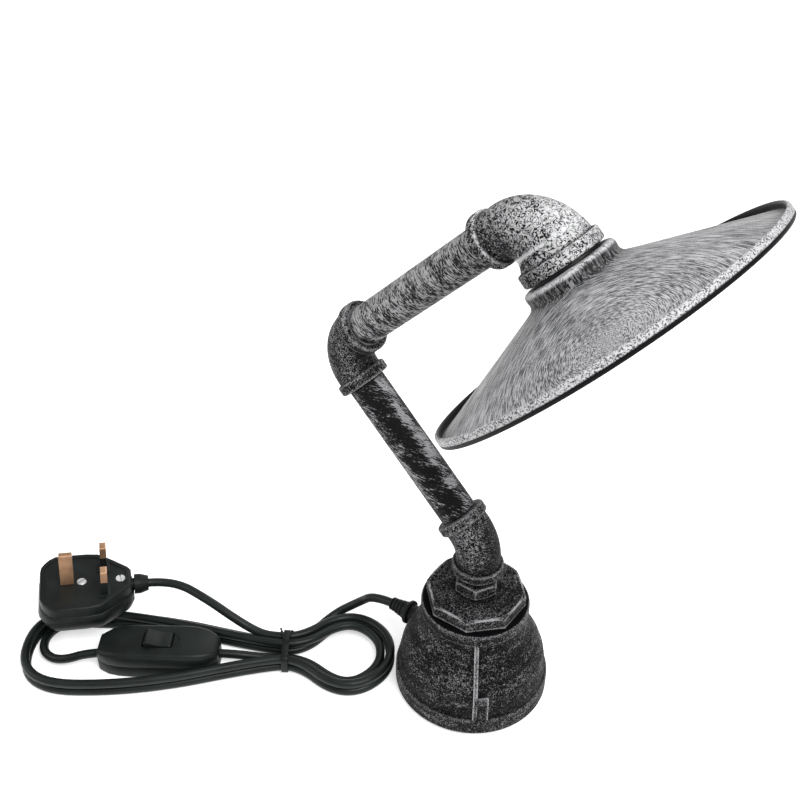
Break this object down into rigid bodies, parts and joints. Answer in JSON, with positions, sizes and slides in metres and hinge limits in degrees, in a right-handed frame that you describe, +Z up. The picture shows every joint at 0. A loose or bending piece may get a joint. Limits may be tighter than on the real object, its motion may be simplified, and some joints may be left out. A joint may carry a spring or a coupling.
{
  "type": "table lamp",
  "caption": "Table lamp of bent iron pipe and pipe fittings with a shallow cone shade, swivelling arm joints, an in-line rocker switch and a mains plug.",
  "frame": {"origin": "on the floor under the middle of the bell base", "axes": "+Z up; the arm and the shade lie in the XZ plane, the shade towards +X; the flex leaves the base towards -X"},
  "size_m": [0.3801, 0.2547, 0.3395],
  "materials": {
    "felt": "matte black felt",
    "plate_steel": "plain steel plate",
    "fitting_silver": "cast surface, black with silver brushed over it",
    "pipe_silver": "dark with silver brush streaks round the pipe",
    "shade_silver": "light grey brushed metal, black inside",
    "black_metal": "satin black",
    "plain_steel": "zinc plated",
    "holder_black": "satin black",
    "ceramic_white": "white glazed",
    "contact_brass": "plain brass",
    "relief_black": "matte black",
    "cord_black": "satin black sheath",
    "tie_black": "black",
    "earth_green": "green and yellow",
    "switch_black": "satin black",
    "rocker_black": "satin black",
    "plug_black": "satin black",
    "pin_brass": "plain brass, reddish"
  },
  "bodies": {
    "base": {"felt_pad": "felt", "base_plate": "plate_steel", "bell_base": "fitting_silver", "octagon_bush": "fitting_silver", "hex_nipple": "fitting_silver", "cord_strain_relief": "relief_black", "base_flex": "cord_black", "earth_wire": "earth_green", "earth_screw": "contact_brass", "earth_tag": "contact_brass", "cord_lead": "cord_black", "cord_hank_lower": "cord_black", "cord_hank_upper": "cord_black", "cord_plug_lead": "cord_black", "cord_tie": "tie_black", "switch_base": "switch_black", "switch_cover": "switch_black", "switch_screws": "plain_steel", "switch_contacts": "contact_brass", "rocker_pin": "plain_steel", "plug_cover": "plug_black", "plug_base": "plug_black", "earth_pin": "pin_brass", "line_pin": "pin_brass", "neutral_pin": "pin_brass", "pin_sleeves": "plug_black", "plug_screws": "plain_steel", "plug_fuse": "ceramic_white", "plug_grommet": "relief_black"},
    "lower_arm": {"lower_elbow": "fitting_silver", "lower_pipe": "pipe_silver", "lower_flex": "cord_black"},
    "upper_arm": {"middle_elbow": "fitting_silver", "upper_pipe": "pipe_silver", "upper_flex": "cord_black"},
    "head": {"upper_elbow": "fitting_silver", "head_plug": "black_metal", "hollow_nipple": "plain_steel", "nipple_lock_nut": "plain_steel", "shade": "shade_silver", "shade_washer": "plain_steel", "lampholder_cap": "holder_black", "lampholder_body": "holder_black", "lampholder_insert": "ceramic_white", "lampholder_terminals": "contact_brass", "screw_shell": "contact_brass", "centre_contact": "contact_brass", "head_flex": "cord_black"},
    "rocker": {"switch_rocker": "rocker_black"}
  },
  "joints": [
    {"name": "base_swivel", "type": "hinge", "parent": "base", "child": "lower_arm", "pos_m": [0, 0, 0.09], "axis": [0, 0, 1], "range_deg": [-120, 120]},
    {"name": "elbow_swivel", "type": "hinge", "parent": "lower_arm", "child": "upper_arm", "pos_m": [-0.08132, 0, 0.19082], "axis": [-0.7071, 0, 0.7071], "range_deg": [-90, 90]},
    {"name": "head_swivel", "type": "hinge", "parent": "upper_arm", "child": "head", "pos_m": [-0.00212, 0, 0.2983], "axis": [0.7071, 0, 0.7071], "range_deg": [-90, 90]},
    {"name": "rocker_tip", "type": "hinge", "parent": "base", "child": "rocker", "pos_m": [-0.1616, -0.10037, 0.0167], "axis": [-0.5592, 0.829, 0], "range_deg": [-14, 0]}
  ]
}
